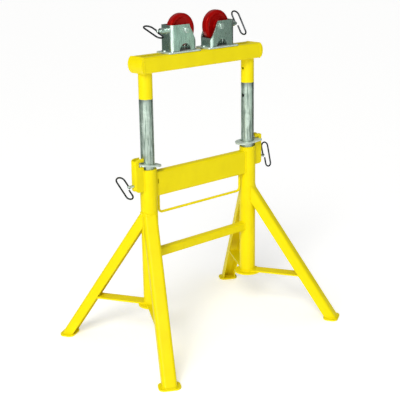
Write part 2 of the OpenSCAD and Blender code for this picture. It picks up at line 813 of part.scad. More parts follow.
head_ring(left, roll_left_head);  // left_head_ring
head_ring(right, roll_right_head);  // right_head_ring
head_spring(left);  // left_head_spring
head_spring(right);  // right_head_spring
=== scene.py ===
"""Looks of an adjustable pipe roller support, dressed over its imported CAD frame.

The CAD nodes keep their places and get finishes made of shader nodes. New pieces add what the solids
leave out: weld beads, bent wire rings, wound springs, chamfered fasteners and turned wheels.
Lengths are in millimetres in the sizes below, and in metres in the scene.
"""

import json
import logging
import math
from dataclasses import dataclass, field
from enum import Enum
from typing import Any, Iterable, Sequence

import bmesh
import bpy
import numpy as np
from mathutils import Matrix, Vector


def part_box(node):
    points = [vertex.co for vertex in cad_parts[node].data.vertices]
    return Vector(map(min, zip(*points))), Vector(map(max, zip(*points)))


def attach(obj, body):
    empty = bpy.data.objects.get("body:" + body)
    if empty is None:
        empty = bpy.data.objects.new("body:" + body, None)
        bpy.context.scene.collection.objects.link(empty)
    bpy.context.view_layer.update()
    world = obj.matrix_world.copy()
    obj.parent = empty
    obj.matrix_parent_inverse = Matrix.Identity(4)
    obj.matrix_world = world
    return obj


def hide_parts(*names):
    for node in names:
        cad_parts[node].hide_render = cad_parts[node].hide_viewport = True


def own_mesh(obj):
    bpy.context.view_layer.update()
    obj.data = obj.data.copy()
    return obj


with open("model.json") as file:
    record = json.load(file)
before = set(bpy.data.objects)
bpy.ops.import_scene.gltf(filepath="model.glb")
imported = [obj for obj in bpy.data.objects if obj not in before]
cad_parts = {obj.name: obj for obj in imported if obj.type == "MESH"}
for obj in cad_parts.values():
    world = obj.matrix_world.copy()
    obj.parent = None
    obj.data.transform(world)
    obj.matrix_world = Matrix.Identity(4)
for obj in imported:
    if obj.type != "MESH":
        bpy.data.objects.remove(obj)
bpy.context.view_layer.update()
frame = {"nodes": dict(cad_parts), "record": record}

log = logging.getLogger("pipe_roller_support")
Array = np.ndarray
Socket = bpy.types.NodeSocket
Tree = bpy.types.NodeTree

MM = 0.001
X, Y, Z = 0, 1, 2
ALONG_X, ALONG_Y, ALONG_Z = (1.0, 0.0, 0.0), (0.0, 1.0, 0.0), (0.0, 0.0, 1.0)
# Points closer than this, in metres, are one point
MERGE_M = 1e-7
# Edges that turn by more than this many degrees stay sharp, on most pieces, on wheels and on hexagons
SHARP_DEG, WHEEL_SHARP_DEG, HEX_SHARP_DEG = 40.0, 50.0, 25.0


class Side(Enum):
    """The two ends of the support, by the sign of their place on the X axis."""

    LEFT = -1
    RIGHT = 1

    @property
    def word(self) -> str:
        """The side's name as the CAD nodes and bodies spell it."""
        return self.name.lower()


class Slot(Enum):
    """The record's material slots."""

    YELLOW = "yellow_paint"
    ZINC = "zinc"
    RED = "red_enamel"
    STEEL = "steel"
    WIRE = "ring_wire"
    BRONZE = "bronze"


@dataclass(frozen=True)
class NodeBox:
    """A CAD node's box at rest, in millimetres.

    Attributes:
        low: Its lowest corner.
        high: Its highest corner.
    """

    low: Array
    high: Array

    @classmethod
    def of(cls, node: str) -> "NodeBox":
        """Reads a node's box from the frame, to a micrometre, since its numbers are single precision."""
        low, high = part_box(node)
        return cls(np.round(np.array(low) / MM, 3), np.round(np.array(high) / MM, 3))

    @property
    def middle(self) -> Array:
        """The box's centre."""
        return (self.low + self.high) / 2

    @property
    def size(self) -> Array:
        """The box's lengths along X, Y and Z."""
        return self.high - self.low


# Surfaces on grids


@dataclass
class Patch:
    """One closed or open surface.

    Attributes:
        points: The vertices, one row each, in millimetres.
        faces: Four-sided faces as rows of vertex numbers.
        caps: Many-sided faces that close the ends.
    """

    points: Array
    faces: Array
    caps: tuple[Array, ...] = ()


def grid_faces(rows: int, cols: int, close_rows: bool, close_cols: bool) -> Array:
    """Numbers the faces of a grid of points.

    Args:
        rows: Points along the first parameter.
        cols: Points along the second parameter.
        close_rows: Whether the last row joins the first.
        close_cols: Whether the last column joins the first.

    Returns:
        Four vertex numbers for each face.
    """
    r = np.arange(rows if close_rows else rows - 1)[:, None]
    c = np.arange(cols if close_cols else cols - 1)[None, :]
    r1, c1 = (r + 1) % rows, (c + 1) % cols
    corners = [r * cols + c, r * cols + c1, r1 * cols + c1, r1 * cols + c]
    return np.stack(corners, axis=-1).reshape(-1, 4)


def unit(rows: Array) -> Array:
    """Scales each row to length one."""
    return rows / np.linalg.norm(rows, axis=-1, keepdims=True)


def square_to(axis: Sequence[float], hint: Sequence[float] = (0.3, 0.5, 0.8)) -> tuple[Array, Array]:
    """Finds two directions that are square to an axis and to each other.

    Args:
        axis: The axis, of length one.
        hint: A direction off the axis, which sets how the two are turned about it.

    Returns:
        Both directions, of length one.
    """
    first = unit(np.cross(axis, hint))
    return first, np.cross(axis, first)


def sweep(path: Array, across: Sequence[float], radius: Array, sides: int, closed: bool) -> Patch:
    """Carries a round profile along a path.

    A point is path(s) + radius(s) * (cos t * n(s) + sin t * b(s)), where n is the part of across that is
    square to the path's tangent, and b is square to both.

    Args:
        path: Points of the centre line.
        across: A direction that the path never runs along.
        radius: The profile's radius at each point.
        sides: Points round the profile.
        closed: Whether the path's end joins its start.

    Returns:
        The tube, with its ends capped when it is open.
    """
    ahead = np.roll(path, -1, axis=0) - np.roll(path, 1, axis=0) if closed else np.gradient(path, axis=0)
    tangent = unit(ahead)
    lead = np.asarray(across, float)
    n = unit(lead - np.sum(lead * tangent, axis=1, keepdims=True) * tangent)
    b = np.cross(tangent, n)
    t = np.linspace(0, 2 * np.pi, sides, endpoint=False)[None, :, None]
    ring = np.cos(t) * n[:, None, :] + np.sin(t) * b[:, None, :]
    points = path[:, None, :] + radius[:, None, None] * ring
    count = len(path)
    caps = () if closed else (np.arange(sides)[::-1], (count - 1) * sides + np.arange(sides))
    return Patch(points.reshape(-1, 3), grid_faces(count, sides, closed, True), caps)


def resample(path: Array, step: float, closed: bool, fewest: int = 8) -> tuple[Array, Array]:
    """Places points at even steps of arc length along a path.

    Args:
        path: The path's points.
        step: The wanted spacing.
        closed: Whether the path's end joins its start.
        fewest: The least number of points.

    Returns:
        The new points and the arc length at each.
    """
    line = np.vstack([path, path[:1]]) if closed else path
    arc = np.concatenate([[0.0], np.cumsum(np.linalg.norm(np.diff(line, axis=0), axis=1))])
    count = max(fewest, int(round(arc[-1] / step)))
    s = np.linspace(0, arc[-1], count, endpoint=not closed)
    return np.stack([np.interp(s, arc, line[:, k]) for k in range(3)], axis=1), s


def rounded_ends(s: Array, reach: float, tip: float = 0.02) -> Array:
    """Works out how a round bar's radius falls off, as a quarter circle, at both its ends.

    Args:
        s: Arc length at each point.
        reach: How far from an end the fall starts.
        tip: The least share of the reach, so that no end closes to a point.

    Returns:
        Shares of the full radius.
    """
    inward = np.clip(np.minimum(s, s[-1] - s) / reach, tip, 1)
    return np.sqrt(1 - (1 - inward) ** 2)


# A weld bead's ripples, in millimetres and as a share of its radius, and how finely it is drawn
RIPPLE_MM, RIPPLE_RISE = 4.6, 0.16
BEAD_STEP_MM, BEAD_SIDES = RIPPLE_MM / 4, 8
# Length of a bead's rounded end, in bead radii
BEAD_END = 1.5


def weld_bead(path: Array, across: Sequence[float], size: float, closed: bool) -> Patch:
    """Lays a rippled weld bead along a seam.

    The bead is a round profile whose radius is size * (1 + rise * |sin(pi * s / pitch)|), so each ripple is
    one freeze line of the weld pool, and an open end is rounded off.

    Args:
        path: The seam's points.
        across: A direction that the seam never runs along.
        size: The bead's radius.
        closed: Whether the seam is a loop.

    Returns:
        The bead.
    """
    even, s = resample(path, BEAD_STEP_MM, closed)
    radius = size * (1 + RIPPLE_RISE * np.abs(np.sin(np.pi * s / RIPPLE_MM)))
    if not closed:
        radius = radius * rounded_ends(s, BEAD_END * size)
    return sweep(even, across, radius, BEAD_SIDES, closed)


def revolve(profile: Array, centre: Sequence[float], axis: Sequence[float], steps: int) -> Patch:
    """Turns a closed profile about an axis.

    A point is centre + r * (cos a * e1 + sin a * e2) + h * axis for each profile point (r, h).

    Args:
        profile: Closed outline as rows of radius and height.
        centre: A point on the axis.
        axis: The axis, of length one.
        steps: Points round the axis.

    Returns:
        The turned surface.
    """
    e1, e2 = square_to(axis)
    a = np.linspace(0, 2 * np.pi, steps, endpoint=False)[:, None, None]
    r, h = profile[None, :, 0, None], profile[None, :, 1, None]
    points = np.asarray(centre, float) + r * (np.cos(a) * e1 + np.sin(a) * e2) + h * np.asarray(axis, float)
    return Patch(points.reshape(-1, 3), grid_faces(steps, len(profile), True, True))


def hexagon_turned(limits: Sequence[tuple[float, float]], flats: float, centre: Sequence[float],
                   axis: Sequence[float], bored: bool = False, steps: int = 72) -> Patch:
    """Makes a hexagon-headed bolt or a nut as one surface of angle and outline.

    The radius at angle a is the smaller of the outline's own radius and the hexagon's, which is half the
    width across flats over cos(a mod 60 - 30 degrees), so cones cut the corners as a real chamfer does.

    Args:
        limits: Outline as rows of greatest radius and height.
        flats: Width across flats.
        centre: The point at height zero on the axis.
        axis: The axis, of length one.
        bored: Whether the outline's end joins its start round a bore.
        steps: Points round the axis.

    Returns:
        The fastener's surface.
    """
    e1, e2 = square_to(axis, ALONG_X if axis[Z] else ALONG_Z)
    a = np.linspace(0, 2 * np.pi, steps, endpoint=False)
    side = flats / 2 / np.cos(np.mod(a, np.pi / 3) - np.pi / 6)
    rows = np.array(limits)
    r = np.minimum(rows[None, :, 0], side[:, None])[..., None]
    turn = np.cos(a)[:, None, None] * e1 + np.sin(a)[:, None, None] * e2
    points = np.asarray(centre, float) + r * turn + rows[None, :, 1, None] * np.asarray(axis, float)
    return Patch(points.reshape(-1, 3), grid_faces(steps, len(rows), True, bored))


def rounded_corners(outline: Sequence[tuple[float, float, float]], steps: int = 6) -> Array:
    """Rounds the corners of a closed outline.

    Each corner becomes the arc of its radius that touches both its sides.

    Args:
        outline: Corners as x, y and radius.
        steps: Points on each arc.

    Returns:
        The outline's points.
    """
    rows = np.asarray(outline, float)
    here, back, ahead = rows[:, :2], np.roll(rows[:, :2], 1, axis=0), np.roll(rows[:, :2], -1, axis=0)
    u, v = unit(back - here), unit(ahead - here)
    half = np.arccos(np.clip(np.sum(u * v, axis=1), -1, 1)) / 2
    radius = rows[:, 2]
    inner = here + unit(u + v) * (radius / np.sin(half))[:, None]
    start = here + u * (radius / np.tan(half))[:, None]
    end = here + v * (radius / np.tan(half))[:, None]
    a0 = np.arctan2(*(start - inner).T[::-1])
    turn = np.arctan2(*(end - inner).T[::-1]) - a0
    turn = (turn + np.pi) % (2 * np.pi) - np.pi
    a = a0[:, None] + turn[:, None] * np.linspace(0, 1, steps)[None, :]
    arc = inner[:, None, :] + radius[:, None, None] * np.stack([np.cos(a), np.sin(a)], axis=-1)
    return arc.reshape(-1, 2)


def circle(centre: Sequence[float], radius: float, axis: Sequence[float], count: int = 96) -> Array:
    """Places points round a circle: centre + radius * (cos a * e1 + sin a * e2).

    Args:
        centre: The circle's centre.
        radius: Its radius.
        axis: The direction that it lies square to, of length one.
        count: How many points.

    Returns:
        The points.
    """
    e1, e2 = square_to(axis)
    a = np.linspace(0, 2 * np.pi, count, endpoint=False)[:, None]
    return np.asarray(centre, float) + radius * (np.cos(a) * e1 + np.sin(a) * e2)


def make_piece(name: str, patches: Iterable[Patch], sharp_deg: float = SHARP_DEG) -> bpy.types.Object:
    """Puts surfaces into one mesh object at the origin.

    Args:
        name: The piece's name.
        patches: Its surfaces, in millimetres.
        sharp_deg: Edges that turn by more than this stay sharp.

    Returns:
        The new object, with its faces pointing outwards.
    """
    points, faces, offset = [], [], 0
    for patch in patches:
        points.append(patch.points)
        faces += (patch.faces + offset).tolist()
        faces += [(cap + offset).tolist() for cap in patch.caps]
        offset += len(patch.points)
    mesh = bpy.data.meshes.new(name)
    mesh.from_pydata((np.vstack(points) * MM).tolist(), [], faces)
    shell = bmesh.new()
    shell.from_mesh(mesh)
    bmesh.ops.remove_doubles(shell, verts=shell.verts, dist=MERGE_M)
    bmesh.ops.recalc_face_normals(shell, faces=shell.faces)
    shell.to_mesh(mesh)
    shell.free()
    mesh.polygons.foreach_set("use_smooth", np.ones(len(mesh.polygons), bool))
    mesh.set_sharp_from_angle(angle=math.radians(sharp_deg))
    made = bpy.data.objects.new(name, mesh)
    bpy.context.scene.collection.objects.link(made)
    return made


# Finishes

# Numbered sockets of a mix node: two numbers to mix, two colours to mix, and the mixed colour
MIX_LOW, MIX_HIGH, MIX_A, MIX_B = 2, 3, 6, 7
COLOUR_MIX = {"output": 2, "data_type": "RGBA"}


def linear(hex_code: str) -> tuple[float, float, float, float]:
    """Turns an sRGB colour into a linear one.

    Args:
        hex_code: The colour as a hash sign and six hex digits.

    Returns:
        Red, green, blue and alpha.
    """
    srgb = np.array([int(hex_code[k:k + 2], 16) for k in (1, 3, 5)]) / 255
    values = np.where(srgb <= 0.04045, srgb / 12.92, ((srgb + 0.055) / 1.055) ** 2.4)
    return (*(float(v) for v in values), 1.0)


def add_node(tree: Tree, kind: str, inputs: dict[Any, Any], output: str | int = 0,
             **settings: Any) -> Socket:
    """Adds a shader node with its settings, and sets or links its inputs.

    Args:
        tree: The tree to add to.
        kind: The node's type, without the prefix that the types of all shader nodes share.
        inputs: Input names or numbers, each with a value or an output to link.
        output: Name or number of the output that is wanted.
        settings: The node's own properties.

    Returns:
        That output.
    """
    made = tree.nodes.new(f"ShaderNode{kind}")
    for key, value in settings.items():
        setattr(made, key, value)
    for key, value in inputs.items():
        if isinstance(value, Socket):
            tree.links.new(value, made.inputs[key])
        else:
            made.inputs[key].default_value = value
    return made.outputs[output]


def new_material(name: str) -> tuple[bpy.types.Material, Tree, Socket]:
    """Makes an empty material.

    Args:
        name: Its name.

    Returns:
        The material, its tree, and the input that takes its shader.
    """
    material = bpy.data.materials.new(name)
    material.use_nodes = True
    tree = material.node_tree
    tree.nodes.clear()
    return material, tree, tree.nodes.new("ShaderNodeOutputMaterial").inputs["Surface"]


@dataclass(frozen=True)
class Enamel:
    """A sprayed gloss enamel on steel: an even colour under a clear skin with a fine orange peel.

    Attributes:
        name: The material's name.
        colour: The paint where it lies full.
        thin: The paint where it runs thin, in patches.
        worn: What shows where an edge is rubbed through.
        glint: The tone that its mirror image takes.
        roughness: The skin's mean roughness.
        coat: Weight of the clear skin.
        specular: How strongly the skin mirrors its surroundings.
        patch_mm: Size of the colour's slow drift.
        peel_mm: Spacing of the orange peel.
        rub: Flatness of an edge plus grit at which the paint starts to go.
        rub_width: How much less of that leaves the edge bare.
        edge_mm: Radius of the softened edges.
        grit_mm: Size of the grit that dulls the skin and frays the rubbed edges.
        peel_depth_mm: Depth of the orange peel.
    """

    name: str
    colour: str
    thin: str
    worn: str
    glint: str
    roughness: float
    coat: float
    specular: float
    patch_mm: float
    peel_mm: float
    rub: float
    rub_width: float = 0.08
    edge_mm: float = 1.6
    grit_mm: float = 9.0
    peel_depth_mm: float = 0.5

    def build(self) -> bpy.types.Material:
        """Builds the material.

        Returns:
            The enamel, with drift in its colour, rubbed edges and an orange-peel bump.
        """
        material, tree, surface = new_material(self.name)
        place = add_node(tree, "TexCoord", {}, "Object")
        drift = add_node(tree, "TexNoise", {
            "Vector": place, "Scale": 1 / (self.patch_mm * MM), "Detail": 4.0, "Roughness": 0.55})
        thinned = add_node(tree, "MapRange", {"Value": drift, "From Min": 0.35, "From Max": 0.7})
        paint = add_node(tree, "Mix", {
            0: thinned, MIX_A: linear(self.colour), MIX_B: linear(self.thin)}, **COLOUR_MIX)
        edge = add_node(tree, "Bevel", {"Radius": self.edge_mm * MM}, samples=4)
        flat = add_node(tree, "NewGeometry", {}, "Normal")
        flatness = add_node(tree, "VectorMath", {0: edge, 1: flat}, "Value", operation="DOT_PRODUCT")
        grit = add_node(tree, "TexNoise", {
            "Vector": place, "Scale": 1 / (self.grit_mm * MM), "Detail": 6.0})
        cover = add_node(tree, "Math", {0: flatness, 1: grit}, operation="ADD")
        rubbed = add_node(tree, "MapRange", {
            "Value": cover, "From Min": self.rub, "From Max": self.rub - self.rub_width})
        colour = add_node(tree, "Mix", {0: rubbed, MIX_A: paint, MIX_B: linear(self.worn)}, **COLOUR_MIX)
        peel = add_node(tree, "TexNoise", {
            "Vector": place, "Scale": 1 / (self.peel_mm * MM), "Detail": 2.0})
        bump = add_node(tree, "Bump", {
            "Height": peel, "Strength": 0.12, "Distance": self.peel_depth_mm * MM, "Normal": edge})
        rough = add_node(tree, "MapRange", {
            "Value": grit, "To Min": self.roughness - 0.06, "To Max": self.roughness + 0.1})
        shader = add_node(tree, "BsdfPrincipled", {
            "Base Color": colour, "Roughness": rough, "Specular IOR Level": self.specular,
            "Specular Tint": linear(self.glint), "Coat Weight": self.coat, "Coat Roughness": 0.08,
            "Normal": bump})
        tree.links.new(shader, surface)
        return material


@dataclass(frozen=True)
class PlatedMetal:
    """A bare or plated metal: a bright skin with faint clouds, and streaks left by its making.

    Attributes:
        name: The material's name.
        colour: The metal where it is clean.
        cloud: The metal where its film is thicker.
        tint: A faint colour in the film.
        streak: The metal in the streaks.
        metallic: How much of it answers light as metal.
        roughness: Mean roughness.
        cloud_mm: Size of the clouds.
        streak_mm: Width of the streaks, which run along Z.
        tint_spread: Size of the tinted areas, in clouds.
        streak_slimness: The streaks' width over their length.
        edge_mm: Radius of the softened edges.
        grain_mm: Spacing of the surface's grain.
        grain_depth_mm: Depth of the grain.
    """

    name: str
    colour: str
    cloud: str
    tint: str
    streak: str
    metallic: float
    roughness: float
    cloud_mm: float
    streak_mm: float
    tint_spread: float = 2.5
    streak_slimness: float = 0.08
    edge_mm: float = 1.2
    grain_mm: float = 2.5
    grain_depth_mm: float = 0.3

    def film(self, tree: Tree, place: Socket) -> tuple[Socket, Socket]:
        """Adds the film's colour and roughness.

        Args:
            tree: The material's tree.
            place: Object coordinates.

        Returns:
            The outputs that hold the colour and the roughness.
        """
        cloud = add_node(tree, "TexNoise", {
            "Vector": place, "Scale": 1 / (self.cloud_mm * MM), "Detail": 5.0, "Distortion": 0.6})
        clouded = add_node(tree, "MapRange", {"Value": cloud, "From Min": 0.35, "From Max": 0.68})
        base = add_node(tree, "Mix", {
            0: clouded, MIX_A: linear(self.colour), MIX_B: linear(self.cloud)}, **COLOUR_MIX)
        area = add_node(tree, "TexNoise", {
            "Vector": place, "Scale": 1 / (self.tint_spread * self.cloud_mm * MM), "Detail": 2.0})
        tinted = add_node(tree, "MapRange", {
            "Value": area, "From Min": 0.45, "From Max": 0.75, "To Max": 0.55})
        toned = add_node(tree, "Mix", {0: tinted, MIX_A: base, MIX_B: linear(self.tint)}, **COLOUR_MIX)
        drawn = add_node(tree, "Mapping", {"Vector": place, "Scale": (1.0, 1.0, self.streak_slimness)})
        streak = add_node(tree, "TexNoise", {
            "Vector": drawn, "Scale": 1 / (self.streak_mm * MM), "Detail": 3.0})
        lined = add_node(tree, "MapRange", {
            "Value": streak, "From Min": 0.5, "From Max": 0.64, "To Max": 0.85})
        colour = add_node(tree, "Mix", {0: lined, MIX_A: toned, MIX_B: linear(self.streak)}, **COLOUR_MIX)
        rough = add_node(tree, "MapRange", {
            "Value": streak, "From Min": 0.25, "From Max": 0.75,
            "To Min": self.roughness - 0.1, "To Max": self.roughness + 0.14})
        return colour, rough

    def build(self) -> bpy.types.Material:
        """Builds the material.

        Returns:
            The metal, with its film, streaks and softened edges.
        """
        material, tree, surface = new_material(self.name)
        place = add_node(tree, "TexCoord", {}, "Object")
        colour, rough = self.film(tree, place)
        edge = add_node(tree, "Bevel", {"Radius": self.edge_mm * MM}, samples=4)
        grain = add_node(tree, "TexNoise", {
            "Vector": place, "Scale": 1 / (self.grain_mm * MM), "Detail": 3.0})
        bump = add_node(tree, "Bump", {
            "Height": grain, "Strength": 0.08, "Distance": self.grain_depth_mm * MM, "Normal": edge})
        shader = add_node(tree, "BsdfPrincipled", {
            "Base Color": colour, "Roughness": rough, "Metallic": self.metallic, "Normal": bump})
        tree.links.new(shader, surface)
        return material


@dataclass(frozen=True)
class DippedTube:
    """Zinc-plated pipe whose upper end was sprayed with the beam: plate below, enamel above a soft line.

    Attributes:
        name: The material's name.
        plate: The finish below the line.
        paint: The finish above the line.
        below_edge_tone: A darker zinc tone, laid in a band just below the paint's edge.
        line_mm: Height of the paint's lower edge.
        ragged_mm: How far that edge wanders.
        below_edge_mm: How far down the darker band fades out.
        wander_mm: Length of the edge's waves.
        fade_mm: Half the height over which the paint starts.
        paint_mm: The step at the paint's edge.
    """

    name: str
    plate: PlatedMetal
    paint: Enamel
    below_edge_tone: str
    line_mm: float
    ragged_mm: float
    below_edge_mm: float
    wander_mm: float = 14.0
    fade_mm: float = 0.6
    paint_mm: float = 0.4

    def build(self) -> bpy.types.Material:
        """Builds the material.

        Returns:
            The tube's finish, with its colour, metal and roughness changing at the paint line.
        """
        material, tree, surface = new_material(self.name)
        place = add_node(tree, "TexCoord", {}, "Object")
        film, rough = self.plate.film(tree, place)
        height = add_node(tree, "SeparateXYZ", {0: place}, "Z")
        wave = add_node(tree, "TexNoise", {
            "Vector": place, "Scale": 1 / (self.wander_mm * MM), "Detail": 2.0})
        level = add_node(tree, "Math", {0: wave, 1: self.ragged_mm * MM, 2: height},
                         operation="MULTIPLY_ADD")
        line, fade = self.line_mm * MM, self.fade_mm * MM
        painted = add_node(tree, "MapRange", {
            "Value": level, "From Min": line - fade, "From Max": line + fade})
        # The zinc turns darker in a band just below the paint's edge
        below_edge_mask = add_node(tree, "MapRange", {
            "Value": level, "From Min": line - self.below_edge_mm * MM, "From Max": line, "To Max": 0.8})
        zinc = add_node(tree, "Mix", {0: below_edge_mask, MIX_A: film, MIX_B: linear(self.below_edge_tone)}, **COLOUR_MIX)
        drift = add_node(tree, "TexNoise", {
            "Vector": place, "Scale": 1 / (self.paint.patch_mm * MM), "Detail": 4.0})
        enamel = add_node(tree, "Mix", {
            0: drift, MIX_A: linear(self.paint.colour), MIX_B: linear(self.paint.thin)}, **COLOUR_MIX)
        colour = add_node(tree, "Mix", {0: painted, MIX_A: zinc, MIX_B: enamel}, **COLOUR_MIX)
        skin = add_node(tree, "Mix", {0: painted, MIX_LOW: rough, MIX_HIGH: self.paint.roughness})
        metal = add_node(tree, "MapRange", {
            "Value": painted, "To Min": self.plate.metallic, "To Max": 0.0})
        step = add_node(tree, "Bump", {
            "Height": painted, "Strength": 0.5, "Distance": self.paint_mm * MM})
        shader = add_node(tree, "BsdfPrincipled", {
            "Base Color": colour, "Roughness": skin, "Metallic": metal,
            "Specular IOR Level": self.paint.specular, "Normal": step})
        tree.links.new(shader, surface)
        return material


# Sprayed industrial enamel: a saturated, slightly greenish yellow that stays even, with a soft gloss.
YELLOW_ENAMEL = Enamel(
    "yellow_gloss_enamel", colour="#EFDD02", thin="#E9D602", worn="#A1983F", glint="#FFFFFF",
    roughness=0.42, coat=0.03, specular=0.1, patch_mm=60, peel_mm=5, rub=1.18)
# Cast iron wheel in baked red enamel: deep and very glossy, so it mirrors the lights in a hot red.
RED_ENAMEL = Enamel(
    "red_baked_enamel", colour="#980404", thin="#8C0303", worn="#520A0A", glint="#FF5040",
    roughness=0.16, coat=0.0, specular=0.5, patch_mm=40, peel_mm=6, rub=1.16)
# Bright zinc electroplate with a clear chromate: pale grey with a faint green cast and cloudy patches.
ZINC_PLATE = PlatedMetal(
    "zinc_electroplate", colour="#BCCDC5", cloud="#A6B8AF", tint="#B6C2B2", streak="#9BADA4",
    metallic=0.9, roughness=0.25, cloud_mm=22, streak_mm=3.0)
# Dull galvanised pipe: the same zinc, weathered to a soft pale skin with long drawn streaks, which are
# drawn twice as wide as real ones so that they show.
ZINC_PIPE = PlatedMetal(
    "dull_zinc_pipe", colour="#C4D4C8", cloud="#A2B2A7", tint="#B0BEA9", streak="#6C7C72",
    metallic=0.8, roughness=0.32, cloud_mm=26, streak_mm=5.2)
# Flame-cut plate, dipped in zinc and left dull: pale and matt, so it is bright wherever it faces the light.
ZINC_DIP = PlatedMetal(
    "dull_dipped_zinc", colour="#D4E1D8", cloud="#BCCBC1", tint="#C4D0BF", streak="#B0C0B6",
    metallic=0.3, roughness=0.42, cloud_mm=18, streak_mm=3.0)
# Turned and hardened steel, lightly oiled: bright and nearly neutral, with lathe streaks, which are drawn
# coarser than real ones so that they show.
TURNED_STEEL = PlatedMetal(
    "turned_steel", colour="#D9E6DF", cloud="#BDCAC3", tint="#CDD6CB", streak="#ABB9B1",
    metallic=0.9, roughness=0.28, cloud_mm=15, streak_mm=1.5)
# Hard-drawn spring wire, dark as painted shade for the surroundings it mirrors, with a tight bright glint
# along its length.
DRAWN_WIRE = PlatedMetal(
    "drawn_spring_wire", colour="#565B5E", cloud="#2A2D2F", tint="#3C3E39", streak="#17191A",
    metallic=0.95, roughness=0.16, cloud_mm=12, streak_mm=3.0)
# Sintered bronze bush, oiled: warm brown-gold and satin.
OILED_BRONZE = PlatedMetal(
    "sintered_bronze", colour="#A97F45", cloud="#8A6535", tint="#9A7A4A", streak="#7A582E",
    metallic=0.9, roughness=0.42, cloud_mm=8, streak_mm=2.0)
# The same pipe with the beam's paint at its head, darker grey for a thumb's width under the paint's edge.
PAINTED_PIPE = DippedTube(
    "zinc_pipe_with_painted_head", plate=ZINC_PIPE, paint=YELLOW_ENAMEL, below_edge_tone="#6A746F",
    line_mm=906, ragged_mm=3, below_edge_mm=20)


class Finishes:
    """The built materials, by the record's slot, and how pieces get them."""

    def __init__(self) -> None:
        """Builds each finish once."""
        recipes = {Slot.YELLOW: YELLOW_ENAMEL, Slot.ZINC: ZINC_PLATE, Slot.RED: RED_ENAMEL,
                   Slot.STEEL: TURNED_STEEL, Slot.WIRE: DRAWN_WIRE, Slot.BRONZE: OILED_BRONZE}
        self.by_slot = {slot: recipe.build() for slot, recipe in recipes.items()}
        self.pipe = PAINTED_PIPE.build()
        self.dipped = ZINC_DIP.build()

    def dress_nodes(self) -> None:
        """Gives each CAD node its slot's finish, but inner tubes their paint line and plates dull zinc."""
        slots = {row["node"]: Slot(row["material_slot"]) for row in frame["record"]["subparts"]}
        for name, node in frame["nodes"].items():
            if name.endswith("inner_tube"):
                self.put(node, self.pipe)
            elif name.endswith(("lock_plate", "base_plate")):
                self.put(node, self.dipped)
            else:
                self.put(node, self.by_slot[slots[name]])

    def put(self, piece: bpy.types.Object, material: bpy.types.Material) -> None:
        """Makes a material the only one on a piece.

        Args:
            piece: The piece or CAD node.
            material: The material.
        """
        if not piece.material_slots:
            piece.data.materials.append(material)
        for slot in piece.material_slots:
            slot.material = material

    def settle(self, piece: bpy.types.Object, slot: Slot, body: str, *replaced: str) -> None:
        """Dresses a new piece and ties it to the frame.

        Args:
            piece: The new piece.
            slot: Its material slot.
            body: The CAD body that it rides on.
            replaced: The CAD nodes that it stands for.
        """
        self.put(piece, self.by_slot[slot])
        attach(piece, body)
        if replaced:
            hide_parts(*replaced)
        log.info("%s rides on %s: %d faces", piece.name, body, len(piece.data.polygons))


# Sub-assemblies


def at_side(points: Array, side: Side) -> Array:
    """Mirrors points that were worked out for the right side when the side is the left."""
    return points * np.array([side.value, 1.0, 1.0])


def on_side(patches: Iterable[Patch], side: Side) -> list[Patch]:
    """Mirrors surfaces that were worked out for the right side when the side is the left."""
    return [Patch(at_side(patch.points, side), patch.faces, patch.caps) for patch in patches]


@dataclass(frozen=True)
class BoxTube:
    """A rectangular tube along X: its box in the CAD frame, and the radius of its corners."""

    box: NodeBox
    corner: float

    def outline(self) -> Array:
        """Outlines the tube's section.

        Returns:
            Rows of places across and up.
        """
        (_, near, low), (_, far, high), r = self.box.low, self.box.high, self.corner
        return rounded_corners([(near, low, r), (far, low, r), (far, high, r), (near, high, r)])


# CAD nodes whose flat sides give the new pieces' places; the left side mirrors the right
BRACE, BRACKET = NodeBox.of("right_front_brace"), NodeBox.of("right_lock_bracket")
UPPER_RAIL, LOWER_RAIL, BEAM = NodeBox.of("upper_rail"), NodeBox.of("lower_rail"), NodeBox.of("beam")
HEAD_BOX, WHEEL, COLLAR = (NodeBox.of(f"right_{node}") for node in ("head_box", "wheel", "pin_collar"))
AXLE_BOLT, AXLE_NUT = NodeBox.of("right_axle_bolt"), NodeBox.of("right_axle_nut")
CLAMP_BOLTS = NodeBox.of("right_clamp_bolts")


